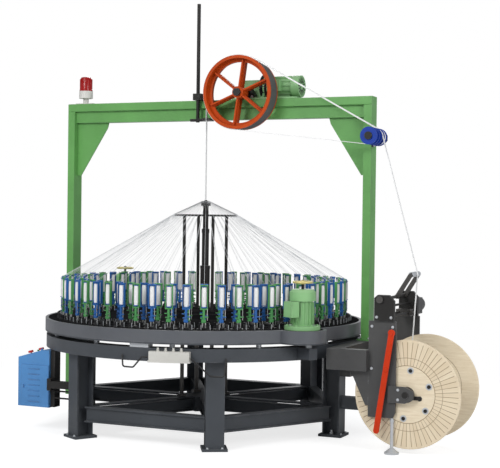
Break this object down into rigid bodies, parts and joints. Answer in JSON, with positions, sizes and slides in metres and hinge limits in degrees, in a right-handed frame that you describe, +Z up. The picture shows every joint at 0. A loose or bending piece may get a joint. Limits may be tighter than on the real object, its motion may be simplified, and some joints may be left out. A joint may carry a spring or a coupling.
{
  "type": "maypole braiding machine",
  "caption": "Floor-standing round maypole braider for glass-fibre sleeving with carriers on a circular bed, gantry haul-off wheel and reel take-up",
  "frame": {"origin": "on the floor, on the upright axis of the round bed, the centre of the foot bolt circle", "axes": "+X along the gantry towards the reel take-up, +Y away from the reel's near flange, +Z up"},
  "size_m": [3.699, 2.6502, 3.49],
  "materials": {
    "green_paint": "semi-gloss enamel",
    "slate_paint": "semi-gloss enamel",
    "blue_paint": "semi-gloss enamel",
    "orange_paint": "enamel",
    "dark_steel": "black finish",
    "steel": "machined",
    "brass": "cast",
    "bobbin": "wound yarn package",
    "yarn": "glass yarn",
    "rubber": "tread",
    "wood": "plywood",
    "red_lens": "translucent red",
    "white_plastic": "moulded",
    "red_plastic": "moulded",
    "green_plastic": "moulded",
    "beige_paint": "enamel",
    "black_cable": "sheath"
  },
  "bodies": {
    "machine": {"legs": "slate_paint", "foot_plates": "slate_paint", "anchor_bolts": "steel", "base_beams": "slate_paint", "support_rods": "steel", "ring_beam": "slate_paint", "bed_spacers": "steel", "bed_base": "slate_paint", "bed_rim": "slate_paint", "deck": "steel", "quoits": "steel", "hub_disc": "steel", "carriers_green": "green_paint", "carriers_blue": "blue_paint", "bobbins": "bobbin", "yarns": "yarn", "column": "steel", "thread_guide": "steel", "gantry_posts": "green_paint", "top_tube": "green_paint", "lower_beam": "green_paint", "beacon_base": "white_plastic", "beacon_lens": "red_lens", "rod_clamp": "dark_steel", "bearing_block": "dark_steel", "haul_gearbox": "green_paint", "haul_motor": "green_paint", "pulley_bracket": "dark_steel", "drive_motors": "green_paint", "fan_covers": "green_paint", "cabinet_shell": "blue_paint", "cabinet_hanger": "dark_steel", "junction_box": "beige_paint", "cables": "black_cable", "take_up_frame": "slate_paint", "side_plates": "slate_paint", "upper_blocks": "dark_steel", "take_up_motor": "slate_paint", "levelling_feet": "steel", "braid": "yarn"},
    "guide_rod": {"guide_rod": "dark_steel"},
    "guide_roller_left": {"guide_roller_left": "dark_steel"},
    "guide_roller_right": {"guide_roller_right": "dark_steel"},
    "haul_wheel": {"haul_wheel": "orange_paint", "wheel_tread": "rubber", "wheel_shaft": "dark_steel"},
    "guide_pulley": {"guide_pulley": "blue_paint"},
    "handwheel_front": {"handwheel_front": "brass"},
    "handwheel_rear": {"handwheel_rear": "brass"},
    "cabinet_door": {"cabinet_door": "blue_paint"},
    "emergency_stop": {"emergency_stop": "red_plastic"},
    "start_button": {"start_button": "green_plastic"},
    "stop_button": {"stop_button": "red_plastic"},
    "dancer": {"dancer": "steel"},
    "dancer_roller": {"dancer_roller": "steel"},
    "traverse_carriage": {"traverse_carriage": "dark_steel"},
    "reel": {"reel_flanges": "wood", "reel_barrel": "yarn", "reel_hub": "dark_steel"},
    "lever": {"lever": "orange_paint"}
  },
  "joints": [
    {"name": "guide_rod_slide", "type": "slide", "parent": "machine", "child": "guide_rod", "axis": [0, 0, 1], "range_m": [-0.25, 0.05]},
    {"name": "guide_roller_left_spin", "type": "hinge", "parent": "guide_rod", "child": "guide_roller_left", "pos_m": [-0.018, 0, 2.523], "axis": [0, 1, 0], "continuous": true},
    {"name": "guide_roller_right_spin", "type": "hinge", "parent": "guide_rod", "child": "guide_roller_right", "pos_m": [0.018, 0, 2.523], "axis": [0, 1, 0], "continuous": true},
    {"name": "haul_wheel_spin", "type": "hinge", "parent": "machine", "child": "haul_wheel", "pos_m": [0.3, 0, 2.735], "axis": [0, 1, 0], "continuous": true},
    {"name": "guide_pulley_spin", "type": "hinge", "parent": "machine", "child": "guide_pulley", "pos_m": [1.479, -0.09, 2.356], "axis": [0, 1, 0], "continuous": true},
    {"name": "handwheel_front_turn", "type": "hinge", "parent": "machine", "child": "handwheel_front", "pos_m": [1.12583, -0.65, 1.2], "axis": [0, 0, 1], "continuous": true},
    {"name": "handwheel_rear_turn", "type": "hinge", "parent": "machine", "child": "handwheel_rear", "pos_m": [-1.12583, 0.65, 1.2], "axis": [0, 0, 1], "continuous": true},
    {"name": "cabinet_door_hinge", "type": "hinge", "parent": "machine", "child": "cabinet_door", "pos_m": [-0.89, -0.966, 0.36], "axis": [0, 0, 1], "range_deg": [0, 90]},
    {"name": "emergency_stop_push", "type": "slide", "parent": "machine", "child": "emergency_stop", "axis": [0.2782, 0, -0.9605], "range_m": [0, 0.004], "stiffness_N_per_m": 900, "springref_m": -0.004},
    {"name": "start_button_push", "type": "slide", "parent": "machine", "child": "start_button", "axis": [0.2782, 0, -0.9605], "range_m": [0, 0.004], "stiffness_N_per_m": 500, "springref_m": -0.004},
    {"name": "stop_button_push", "type": "slide", "parent": "machine", "child": "stop_button", "axis": [0.2782, 0, -0.9605], "range_m": [0, 0.004], "stiffness_N_per_m": 900, "springref_m": -0.004},
    {"name": "dancer_swing", "type": "hinge", "parent": "machine", "child": "dancer", "pos_m": [1.7, -0.24, 1.13], "axis": [0, 1, 0], "range_deg": [-16, 0]},
    {"name": "dancer_roller_spin", "type": "hinge", "parent": "dancer", "child": "dancer_roller", "pos_m": [1.812, -0.24, 1.3], "axis": [0, 1, 0], "continuous": true},
    {"name": "traverse_slide", "type": "slide", "parent": "machine", "child": "traverse_carriage", "axis": [0, 1, 0], "range_m": [-0.41, 0.06]},
    {"name": "reel_spin", "type": "hinge", "parent": "machine", "child": "reel", "pos_m": [1.901, -0.235, 0.44], "axis": [0, 1, 0], "continuous": true},
    {"name": "lever_swing", "type": "hinge", "parent": "machine", "child": "lever", "pos_m": [1.797, -0.579, 0.89], "axis": [0, 1, 0], "range_deg": [-9, 12]}
  ],
  "couplings": [
    {"joint": "handwheel_rear_turn", "follows": "handwheel_front_turn", "ratio": 1}
  ]
}
